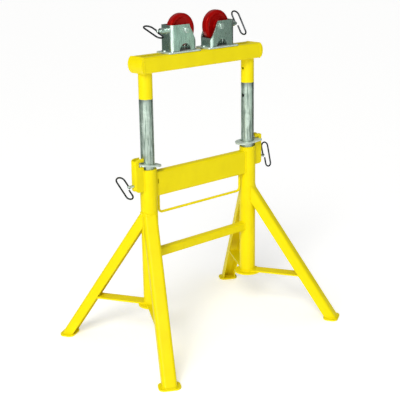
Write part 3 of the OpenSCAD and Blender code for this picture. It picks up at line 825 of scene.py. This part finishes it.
@dataclass
class BaseWeldment:
    """The legs, uprights and rails, and the weld beads that join them.

    The beads of the carrying rod and the lock brackets are given as shares of the others' size, and the
    brackets' beads stop short of the uprights' tops. No seam of a leg runs along off_legs.
    """

    upright_x: float = 240.0
    upright_r: float = 30.15
    disc_r: float = 50.0
    upright_top: float = NodeBox.of("right_upright").high[Z]
    disc_top: float = NodeBox.of("right_base_disc").high[Z]
    foot_reach: float = 337.0
    foot_top: float = NodeBox.of("right_front_foot").high[Z]
    leg_azimuth: float = 60.0
    leg_join_z: float = 467.0
    leg_depth: float = 37.0
    leg_width: float = 50.0
    leg_bend: float = 12.0
    brace_width: float = 46.0
    brace_z: tuple[float, float] = (BRACE.low[Z], BRACE.high[Z])
    rails: tuple[BoxTube, ...] = (BoxTube(UPPER_RAIL, 6.0), BoxTube(LOWER_RAIL, 4.0))
    rod_x: float = 197.0
    rod_r: float = 4.5
    bracket: NodeBox = BRACKET
    bracket_stop: float = 1.0
    bead: float = 2.6
    rod_bead: float = 0.7
    bracket_bead: float = 0.9
    off_legs: tuple[float, float, float] = (0.31, 0.2, 0.93)
    bend_points: int = 10
    seam_points: int = 24
    seam_step: float = 1.0

    @property
    def leg_slope(self) -> float:
        """The legs' angle to the floor, in radians."""
        return math.atan2(self.leg_join_z - self.foot_top, self.foot_reach - self.upright_r)

    def leg_outline(self) -> Array:
        """Outlines the leg channel's outer side from lip to lip, with a quarter circle at each bend.

        Returns:
            Rows of outward and sideways places.
        """
        d, w, r = self.leg_depth / 2, self.leg_width / 2, self.leg_bend
        a = np.linspace(0, np.pi / 2, self.bend_points)
        low = np.stack([d - r + r * np.sin(a), -(w - r) - r * np.cos(a)], axis=1)
        high = low[::-1] * np.array([1.0, -1.0])
        return np.vstack([[[-d, -w]], low, high, [[-d, w]]])

    def to_leg(self, local: Array, side: Side, end: int) -> Array:
        """Turns points from a leg's own upright into the frame.

        Args:
            local: Points with X pointing along the leg in plan.
            side: The upright that the leg stands at.
            end: -1 for a front leg and 1 for a rear leg.

        Returns:
            The same points in the frame.
        """
        a = math.radians(self.leg_azimuth) * end
        turn = np.array([[math.cos(a), -math.sin(a), 0], [math.sin(a), math.cos(a), 0], [0, 0, 1]])
        return at_side(local @ turn.T + np.array([self.upright_x, 0, 0]), side)

    def on_upright(self, y: Array | float) -> Array:
        """How far the upright's skin is from its middle plane: the root of r squared less y squared."""
        return np.sqrt(self.upright_r ** 2 - y ** 2)

    def leg_seams(self) -> list[Array]:
        """Finds the seams of one leg and its brace, about their upright's axis.

        The leg's outline is carried along its slope: it meets the upright where x is the upright's skin,
        and the foot where z is the foot's top.

        Returns:
            The seams at the upright and the foot, then the brace's at the leg, the upright and the disc.
        """
        t = self.leg_slope
        outline, _ = resample(np.pad(self.leg_outline(), ((0, 0), (0, 1))), self.seam_step, False)
        u, v = outline[:, 0], outline[:, 1]
        x = self.on_upright(v)
        along = (self.foot_reach + u * math.sin(t) - x) / math.cos(t)
        top = np.stack([x, v, self.foot_top + u * math.cos(t) + along * math.sin(t)], axis=1)
        foot = np.stack([self.foot_reach + u / math.sin(t), v, np.full_like(u, self.foot_top)], axis=1)
        seams = [top, foot]
        w = self.brace_width / 2
        v = np.linspace(-w, w, self.seam_points)
        for z in self.brace_z:
            mouth = self.foot_reach - (z - self.foot_top) / math.tan(t) - self.leg_depth / 2 / math.sin(t)
            seams.append(np.stack([np.full_like(v, mouth), v, np.full_like(v, z)], axis=1))
        seams.append(np.stack([self.on_upright(v), v, np.full_like(v, self.brace_z[1])], axis=1))
        rim = math.sqrt(self.disc_r ** 2 - w ** 2)
        x = np.linspace(self.on_upright(w), rim - self.bead, self.seam_points)
        for edge in (-w, w):
            seams.append(np.stack([x, np.full_like(x, edge), np.full_like(x, self.disc_top)], axis=1))
        return seams

    def beads(self) -> list[Patch]:
        """Lays every bead of the weldment.

        Returns:
            The beads, as surfaces.
        """
        made = []
        for side in Side:
            for end in (-1, 1):
                for seam in self.leg_seams():
                    made.append(weld_bead(self.to_leg(seam, side, end), self.off_legs, self.bead, False))
            for rail in self.rails:
                y, z = rail.outline().T
                seam = np.stack([self.upright_x - self.on_upright(y), y, z], axis=1)
                made.append(weld_bead(at_side(seam, side), ALONG_X, self.bead, True))
            seam = circle((self.upright_x, 0, self.disc_top), self.upright_r, ALONG_Z)
            made.append(weld_bead(at_side(seam, side), ALONG_Z, self.bead, True))
            seam = circle((self.rod_x, 0, self.rails[0].box.low[Z]), self.rod_r, ALONG_Z, count=32)
            made.append(weld_bead(at_side(seam, side), ALONG_Z, self.bead * self.rod_bead, True))
            z = np.linspace(self.bracket.low[Z], self.upright_top - self.bracket_stop, self.seam_points)
            for y in (self.bracket.low[Y], self.bracket.high[Y]):
                x = self.upright_x + self.on_upright(y)
                seam = np.stack([np.full_like(z, x), np.full_like(z, y), z], axis=1)
                made.append(weld_bead(at_side(seam, side), ALONG_X, self.bead * self.bracket_bead, False))
        return made

    def build(self, finishes: Finishes) -> None:
        """Adds the weldment's beads in the same paint as its tubes."""
        finishes.settle(make_piece("base_weld_beads", self.beads()), Slot.YELLOW, "base")


@dataclass
class PullRing:
    """An open ring of bent wire: one leg goes through a pin, and the free leg ends under the pin's tip."""

    length: float = 100.0
    width: float = 39.0
    wire: float = 6.0
    step: float = 7.0
    leg_end: float = 7.0
    free_end: float = 9.0
    spacing: float = 1.2
    turn_points: int = 40
    wire_sides: int = 16

    def centre_line(self) -> Array:
        """Draws the wire's centre line in the plane of X and Z, from the pin to the free end.

        Two half turns, each (cx + r cos a, cz + r sin a), join straight legs: one through the pin at x = 0,
        one at the ring's far side, and the free one at the step.

        Returns:
            The line's points, with the pin's axis at zero.
        """
        far, half = self.width - self.wire, (self.length - self.wire) / 2
        high, low = far / 2, (far - self.step) / 2
        runs = [np.array([[0.0, -self.leg_end]])]
        for cx, cz, r, first in ((high, half - high, high, 180), (far - low, low - half, low, 0)):
            a = np.radians(np.linspace(first, first - 180, self.turn_points))
            runs.append(np.stack([cx + r * np.cos(a), cz + r * np.sin(a)], axis=1))
        runs.append(np.array([[self.step, -self.free_end]]))
        flat = np.vstack(runs)
        return np.stack([flat[:, 0], np.zeros(len(flat)), flat[:, 1]], axis=1)

    def surface(self, root: Sequence[float], roll_deg: float) -> Patch:
        """Sweeps the wire along its centre line for a right-hand pin.

        Args:
            root: Where the wire passes through the pin.
            roll_deg: The ring's turn about X.

        Returns:
            The wire, with rounded ends.
        """
        path, s = resample(self.centre_line(), self.spacing, False)
        t = math.radians(roll_deg)
        turn = np.array([[1, 0, 0], [0, math.cos(t), -math.sin(t)], [0, math.sin(t), math.cos(t)]])
        radius = self.wire / 2 * rounded_ends(s, self.wire / 2)
        centres = path @ turn.T + np.asarray(root, float)
        return sweep(centres, turn @ np.array(ALONG_Y), radius, self.wire_sides, False)


@dataclass
class PinSpring:
    """A wound compression spring on a pin, with flat dead turns at its ends."""

    start: float
    end: float
    mean_r: float
    wire: float
    turns: float
    dead_turns: float = 0.75
    turn_points: int = 28
    wire_sides: int = 8

    def surface(self, z: float) -> Patch:
        """Winds the wire about X for a right-hand pin.

        The centre line is (x(s), R cos a, R sin a), where x stays level over the dead turns and rises
        evenly between them.

        Args:
            z: Height of the pin.

        Returns:
            The spring.
        """
        count = int(self.turns * self.turn_points)
        s = np.linspace(0, 1, count)
        dead = self.dead_turns / self.turns
        rise = np.clip((s - dead) / (1 - 2 * dead), 0, 1)
        low, high = self.start + self.wire / 2, self.end - self.wire / 2
        a = 2 * np.pi * self.turns * s
        x, r = low + (high - low) * rise, self.mean_r
        path = np.stack([x, r * np.cos(a), z + r * np.sin(a)], axis=1)
        return sweep(path, ALONG_X, np.full(count, self.wire / 2), self.wire_sides, False)

    def shorten(self, coil: bpy.types.Object, joint: str, side: Side, z: float, travel: float) -> None:
        """Gives a coil its own copy of its mesh.

        Args:
            coil: The wound coil.
            joint: The joint that draws the pin; not used.
            side: The side that the pin is on; not used.
            z: Height of the pin; not used.
            travel: How far the pin is drawn; not used.
        """
        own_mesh(coil)


@dataclass
class HeightLock:
    """The spring pin that locks an upright, with its wire ring.

    The ring's roll is its turn about X in degrees.
    """

    side: Side
    roll: float
    pin_z: float = NodeBox.of("right_lock_pin").middle[Z]
    ring_x: float = 324.15
    travel: float = 12.0
    spring: PinSpring = field(default_factory=lambda: PinSpring(
        start=274.45, end=300.85, mean_r=6.4, wire=1.8, turns=7))
    ring: PullRing = field(default_factory=PullRing)

    def build(self, finishes: Finishes) -> None:
        """Adds the ring and the spring.

        Args:
            finishes: The materials.
        """
        word, side = self.side.word, self.side
        ring = self.ring.surface((self.ring_x, 0, self.pin_z), self.roll)
        wire = make_piece(f"{word}_lock_ring_wire", on_side([ring], side))
        finishes.settle(wire, Slot.WIRE, f"{word}_lock_pull", f"{word}_lock_ring")
        coil = make_piece(f"{word}_lock_spring_coil", on_side([self.spring.surface(self.pin_z)], side))
        finishes.settle(coil, Slot.STEEL, "base", f"{word}_lock_spring")
        self.spring.shorten(coil, f"{word}_lock_pull", side, self.pin_z, self.travel)


@dataclass
class TopFrame:
    """The beam and its tubes, and the beads that join them; the end caps' is a share of the tubes' size."""

    tube_x: float = 240.0
    tube_r: float = 24.15
    beam: BoxTube = BoxTube(BEAM, 6.0)
    bead: float = 2.6
    cap_bead: float = 0.5

    def beads(self) -> list[Patch]:
        """Lays the beads round both tubes and both end caps.

        Returns:
            The beads, as surfaces.
        """
        made = []
        y, z = self.beam.outline().T
        rim = np.stack([np.full_like(y, self.beam.box.high[X]), y, z], axis=1)
        seam = circle((self.tube_x, 0, self.beam.box.low[Z]), self.tube_r, ALONG_Z)
        for side in Side:
            made.append(weld_bead(at_side(seam, side), ALONG_Z, self.bead, True))
            made.append(weld_bead(at_side(rim, side), ALONG_X, self.bead * self.cap_bead, True))
        return made

    def build(self, finishes: Finishes) -> None:
        """Adds the frame's beads in the beam's paint."""
        finishes.settle(make_piece("top_weld_beads", self.beads()), Slot.YELLOW, "top_frame")


# Radii of a hexagon's outline, in halves of its width across flats: its bearing face, and its corners
FACE, CORNER = 0.95, 1.155


@dataclass
class CastWheel:
    """A wheel with a round-shouldered tread, dished sides and a raised hub.

    The dish lies between the foot of the hub, a distance out from the bore, and the foot of the rim, a
    distance in from the tread.
    """

    radius: float = WHEEL.high[X] - AXLE_NUT.middle[X]
    half: float = 14.0
    hub_half: float = WHEEL.high[Y]
    bore_r: float = 11.1
    hub_wall: float = 6.0
    hub_foot: float = 10.5
    rim_foot: float = 18.0
    rim_wall: float = 12.0
    dish: float = 1.5
    corner_points: int = 7
    steps: int = 128

    def surface(self, centre: Sequence[float]) -> Patch:
        """Turns the wheel's outline about Y.

        Args:
            centre: The wheel's middle.

        Returns:
            The wheel.
        """
        r, w, h, b = self.radius, self.half, self.hub_half, self.bore_r
        web = w - self.dish
        # Each corner's radius on the wheel, its place along the axle and how far it is rounded
        side = [(b, h, 0.6), (b + self.hub_wall, h, 1.6), (b + self.hub_foot, web, 3.0),
                (r - self.rim_foot, web, 6.0), (r - self.rim_wall, w, 3.0), (r, w, 8.0)]
        outline = side + [(x, -y, k) for x, y, k in side[::-1]]
        return revolve(rounded_corners(outline, self.corner_points), centre, ALONG_Y, self.steps)


@dataclass
class RollerHead:
    """A sliding head: its wheel, fasteners, weld beads, brake spring and wire ring.

    The window at the foot of its box is given by its middle along X and its reach from there. The ring's
    roll is its turn about X in degrees.
    """

    side: Side
    roll: float
    axle_x: float = AXLE_NUT.middle[X]
    axle_z: float = AXLE_NUT.middle[Z]
    box: NodeBox = HEAD_BOX
    box_bend: float = 12.0
    window: tuple[float, float] = (85.5, 25.0)
    bolts_x: tuple[float, float] = (25.5, 153.5)
    bolt_r: float = 4.0
    bolt_flats: float = 12.5
    axle_r: float = 6.0
    axle_flats: float = 18.7
    thread_gap: float = 0.1
    collar_r: float = COLLAR.high[Y]
    ring_x: float = 179.5
    travel: float = 6.0
    bead: float = 2.2
    collar_bead: float = 0.8
    bead_stop: float = 2.0
    bend_points: int = 12
    wheel: CastWheel = field(default_factory=CastWheel)
    spring: PinSpring = field(default_factory=lambda: PinSpring(
        start=155.3, end=167.7, mean_r=6.2, wire=1.4, turns=5))
    ring: PullRing = field(default_factory=PullRing)

    def clamp_bolts(self) -> list[Patch]:
        """Turns the two clamp bolts, with their shanks down to the clamp plate.

        Returns:
            The bolts' surfaces.
        """
        foot = self.box.low[Z]
        low, h = CLAMP_BOLTS.low[Z] - foot, CLAMP_BOLTS.high[Z] - foot
        a, r = self.bolt_flats / 2, self.bolt_r
        # Chamfers of the tip and of the head's lower and upper side, then radii of its top as shares of a
        tip, under, over, brim, eye = 0.8, 0.4, 1.0, 0.96, 0.5
        rows = [(0, low), (r - tip, low), (r, low + tip), (r, 0), (a * FACE, 0), (a * CORNER, under),
                (a * CORNER, h - over), (a * brim, h), (a * eye, h), (0, h)]
        return [hexagon_turned(rows, self.bolt_flats, (x, 0, foot), ALONG_Z) for x in self.bolts_x]

    def axle(self) -> Patch:
        """Turns the axle bolt, its head at the front.

        Returns:
            The bolt's surface.
        """
        front = self.box.low[Y]
        far, h = front - AXLE_BOLT.high[Y], front - AXLE_BOLT.low[Y]
        a, r = self.axle_flats / 2, self.axle_r
        # Chamfers of the tip and of the head's two sides, then its rounded top's height and share of a
        tip, under, over, crown, brim = 1.0, 0.5, 1.6, 0.4, 0.86
        rows = [(0, far), (r - tip, far), (r, far + tip), (r, 0), (a * FACE, 0), (a * CORNER, under),
                (a * CORNER, h - over), (a * FACE, h - crown), (a * brim, h), (0, h)]
        return hexagon_turned(rows, self.axle_flats, (self.axle_x, front, self.axle_z), (0.0, -1.0, 0.0))

    def nut(self) -> Patch:
        """Turns the axle nut on the rear wall.

        Returns:
            The nut's surface.
        """
        a, h, r = self.axle_flats / 2, AXLE_NUT.size[Y], self.axle_r + self.thread_gap
        # Chamfers of the hexagon and of the bore
        cut, mouth = 1.3, 0.6
        rows = [(r + mouth, 0), (a * FACE, 0), (a * CORNER, cut), (a * CORNER, h - cut), (a * FACE, h),
                (r + mouth, h), (r, h - mouth), (r, mouth)]
        place = (self.axle_x, self.box.high[Y], self.axle_z)
        return hexagon_turned(rows, self.axle_flats, place, ALONG_Y, bored=True)

    def beads(self) -> list[Patch]:
        """Lays the beads at the box's foot, on both sides of its windows, and round the collar.

        Returns:
            The beads, as surfaces.
        """
        near, far, half, bend = self.box.low[X], self.box.high[X], self.box.high[Y], self.box_bend
        mid, reach = self.window
        across = np.array([1.0, -1.0])
        a = np.linspace(0, np.pi / 2, self.bend_points)
        made = []
        for end, sign in ((far, 1.0), (near, -1.0)):
            x = end - sign * bend + sign * bend * np.sin(a)
            turn = np.stack([x, -half + bend - bend * np.cos(a)], axis=1)
            start = np.array([[mid + sign * (reach + self.bead_stop), -half]])
            path = np.vstack([start, turn, turn[::-1] * across, start * across])
            seam = np.pad(path, ((0, 0), (0, 1)), constant_values=self.box.low[Z])
            made.append(weld_bead(seam, ALONG_Z, self.bead, False))
        collar = circle((far, 0, self.axle_z), self.collar_r, ALONG_X, count=48)
        made.append(weld_bead(collar, ALONG_X, self.bead * self.collar_bead, True))
        return made

    def build(self, finishes: Finishes) -> None:
        """Adds the head's pieces and ties each to its body.

        Args:
            finishes: The materials.
        """
        word, side = self.side.word, self.side
        head, brake = f"{word}_head", f"{word}_brake_pull"
        tread = self.wheel.surface((self.axle_x, 0, self.axle_z))
        wheel = make_piece(f"{word}_cast_wheel", on_side([tread], side), WHEEL_SHARP_DEG)
        finishes.settle(wheel, Slot.RED, f"{word}_roller", f"{word}_wheel")
        for node, patches in (("clamp_bolts", self.clamp_bolts()), ("axle_bolt", [self.axle()]),
                              ("axle_nut", [self.nut()])):
            fastener = make_piece(f"{word}_hex_{node}", on_side(patches, side), HEX_SHARP_DEG)
            finishes.settle(fastener, Slot.STEEL, head, f"{word}_{node}")
        beads = make_piece(f"{word}_head_weld_beads", on_side(self.beads(), side))
        finishes.settle(beads, Slot.ZINC, head)
        ring = self.ring.surface((self.ring_x, 0, self.axle_z), self.roll)
        wire = make_piece(f"{word}_brake_ring_wire", on_side([ring], side))
        finishes.settle(wire, Slot.WIRE, brake, f"{word}_head_ring")
        coil = make_piece(f"{word}_brake_spring_coil", on_side([self.spring.surface(self.axle_z)], side))
        finishes.settle(coil, Slot.STEEL, head, f"{word}_head_spring")
        self.spring.shorten(coil, brake, side, self.axle_z, self.travel)


# The stage


@dataclass(frozen=True)
class Card:
    """A glowing card beside the object, out of shot, for bright metal to mirror; it lights nothing else.

    Attributes:
        name: The card's name.
        turn: Its direction about the object, in degrees from the camera's.
        width: Its width, in metres.
        low: Height of its lower edge, in metres.
        high: Height of its upper edge, in metres.
        reach: Its distance from the object, in metres.
        glow: The colour that it shows.
        strength: How brightly it shows it.
    """

    name: str
    turn: float
    width: float
    low: float
    high: float
    reach: float
    glow: str
    strength: float = 1.0


CARDS = (
    # Darkens the heads' outer walls and the left edges of the tubes
    Card("left_dark_card", -105.0, width=2.2, low=0.0, high=2.2, reach=1.9, glow="#50665D"),
    # Darkens the right head's front and the right edges of the tubes
    Card("right_dark_card", 112.0, width=1.9, low=0.0, high=2.2, reach=1.75, glow="#1E2120"),
    # Brightens the middles of the tubes and the bends of the heads
    Card("front_white_card", -4.0, width=2.0, low=0.78, high=1.3, reach=1.2, glow="#F4FAF6", strength=2.6),
    # Gives the left head's front its pale green
    Card("right_white_card", 71.5, width=0.65, low=0.42, high=1.6, reach=1.6, glow="#CCEBDB",
         strength=1.18),
)


@dataclass
class Studio:
    """The pale floor, the soft lights and the photograph's camera, in metres and degrees."""

    eye: tuple[float, float, float] = (-2.11595, -2.38891, 1.45721)
    yaw: float = 41.49
    pitch: float = 16.73
    roll: float = -0.88
    focal_px: float = 909.5
    image_px: float = 400.0
    sensor_mm: float = 36.0
    floor_m: float = 60.0
    floor_glow: float = 0.33
    aim: tuple[float, float, float] = (0.0, 0.0, 0.7)
    key_place: tuple[float, float, float] = (-3.0, -2.2, 3.6)
    key_strength: float = 1.54
    key_spread: float = 24.0
    box_place: tuple[float, float, float] = (-2.8, -1.2, 1.9)
    box_size: float = 1.2
    box_watts: float = 26.0
    sky_low: float = 0.14
    sky_high: float = 0.5
    sky_rise: float = 0.9

    def camera(self) -> None:
        """Sets the camera that was fitted to the photograph."""
        y, p, r = (math.radians(v) for v in (self.yaw, self.pitch, self.roll))
        forward = Vector((math.sin(y) * math.cos(p), math.cos(y) * math.cos(p), -math.sin(p)))
        flat = Vector((math.cos(y), -math.sin(y), 0))
        up = flat.cross(forward)
        right = flat * math.cos(r) + up * math.sin(r)
        top = up * math.cos(r) - flat * math.sin(r)
        data = bpy.data.cameras.new("photo_camera")
        data.sensor_width = self.sensor_mm
        data.lens = self.focal_px / self.image_px * self.sensor_mm
        made = bpy.data.objects.new("photo_camera", data)
        turn = Matrix((right, top, -forward)).transposed().to_4x4()
        made.matrix_world = Matrix.Translation(self.eye) @ turn
        bpy.context.scene.collection.objects.link(made)
        bpy.context.scene.camera = made

    def sheet(self, name: str, corners: Sequence[tuple[float, float, float]], finish: str, shader: str,
              inputs: dict[str, Any]) -> bpy.types.Object:
        """Puts a flat sheet on the stage.

        Args:
            name: The sheet's name.
            corners: Its four corners in order.
            finish: Its material's name.
            shader: The type of the material's only shader, as add_node takes it.
            inputs: That shader's inputs.

        Returns:
            The sheet.
        """
        mesh = bpy.data.meshes.new(name)
        mesh.from_pydata(corners, [], [(0, 1, 2, 3)])
        made = bpy.data.objects.new(name, mesh)
        bpy.context.scene.collection.objects.link(made)
        material, tree, surface = new_material(finish)
        tree.links.new(add_node(tree, shader, inputs), surface)
        mesh.materials.append(material)
        return made

    def floor(self) -> None:
        """Lays the pale floor."""
        half = self.floor_m / 2
        corners = [(-half, -half, 0), (half, -half, 0), (half, half, 0), (-half, half, 0)]
        self.sheet("studio_floor", corners, "matt_white_floor", "BsdfPrincipled", {
            "Base Color": linear("#F8F8F7"), "Roughness": 0.9, "Specular IOR Level": 0.1,
            "Emission Color": linear("#FFFFFF"), "Emission Strength": self.floor_glow})

    def stand(self, card: Card) -> None:
        """Stands a card beside the object, facing it.

        Args:
            card: The card.
        """
        # Yaw is counted from Y towards X, so the camera stands at 270 degrees less its yaw
        a = math.radians(270 - self.yaw + card.turn)
        out = np.array([math.cos(a), math.sin(a)]) * card.reach
        aside = np.array([-math.sin(a), math.cos(a)]) * card.width / 2
        ends = ((-1, card.low), (1, card.low), (1, card.high), (-1, card.high))
        corners = [(*(out + sign * aside), z) for sign, z in ends]
        glow = {"Color": linear(card.glow), "Strength": card.strength}
        made = self.sheet(card.name, corners, card.name, "Emission", glow)
        made.visible_camera = made.visible_diffuse = made.visible_shadow = made.visible_transmission = False

    def hang(self, data: bpy.types.Light, place: tuple[float, float, float]) -> None:
        """Hangs a light that faces the middle of the object.

        Args:
            data: The light.
            place: Where it hangs.
        """
        made = bpy.data.objects.new(data.name, data)
        made.location = place
        made.rotation_euler = (Vector(self.aim) - Vector(place)).to_track_quat("-Z", "Y").to_euler()
        bpy.context.scene.collection.objects.link(made)

    def lights(self) -> None:
        """Hangs a broad key on the left, which lights the floor evenly, and a soft box beside it."""
        key = bpy.data.lights.new("broad_key", "SUN")
        key.energy, key.angle = self.key_strength, math.radians(self.key_spread)
        self.hang(key, self.key_place)
        box = bpy.data.lights.new("soft_box", "AREA")
        box.size, box.energy = self.box_size, self.box_watts
        self.hang(box, self.box_place)

    def sky(self) -> None:
        """Sets a dim surround that brightens towards the zenith, and that the camera sees as white."""
        world = bpy.data.worlds.new("studio_sky")
        world.use_nodes = True
        tree = world.node_tree
        way = add_node(tree, "TexCoord", {}, "Generated")
        height = add_node(tree, "SeparateXYZ", {0: way}, "Z")
        tone = add_node(tree, "MapRange", {
            "Value": height, "From Max": self.sky_rise, "To Min": self.sky_low, "To Max": self.sky_high})
        seen = add_node(tree, "LightPath", {}, "Is Camera Ray")
        strength = add_node(tree, "Mix", {0: seen, MIX_LOW: tone, MIX_HIGH: 1.0})
        back = tree.nodes["Background"]
        back.inputs["Color"].default_value = linear("#FFFFFF")
        tree.links.new(strength, back.inputs["Strength"])
        bpy.context.scene.world = world

    def build(self) -> None:
        """Sets the camera, the floor, the cards, the sky and the lights."""
        self.camera()
        self.floor()
        for card in CARDS:
            self.stand(card)
        self.sky()
        self.lights()
        bpy.context.scene.view_settings.view_transform = "Standard"


def main() -> None:
    """Builds the support's looks in order and reports each piece."""
    logging.basicConfig(level=logging.INFO, format="%(name)s: %(message)s")
    finishes = Finishes()
    finishes.dress_nodes()
    BaseWeldment().build(finishes)
    # Each ring hangs as the photograph shows it
    HeightLock(Side.LEFT, roll=-51.0).build(finishes)
    HeightLock(Side.RIGHT, roll=-14.0).build(finishes)
    TopFrame().build(finishes)
    RollerHead(Side.LEFT, roll=-70.0).build(finishes)
    RollerHead(Side.RIGHT, roll=-32.0).build(finishes)
    Studio().build()


if __name__ == "__main__":
    main()
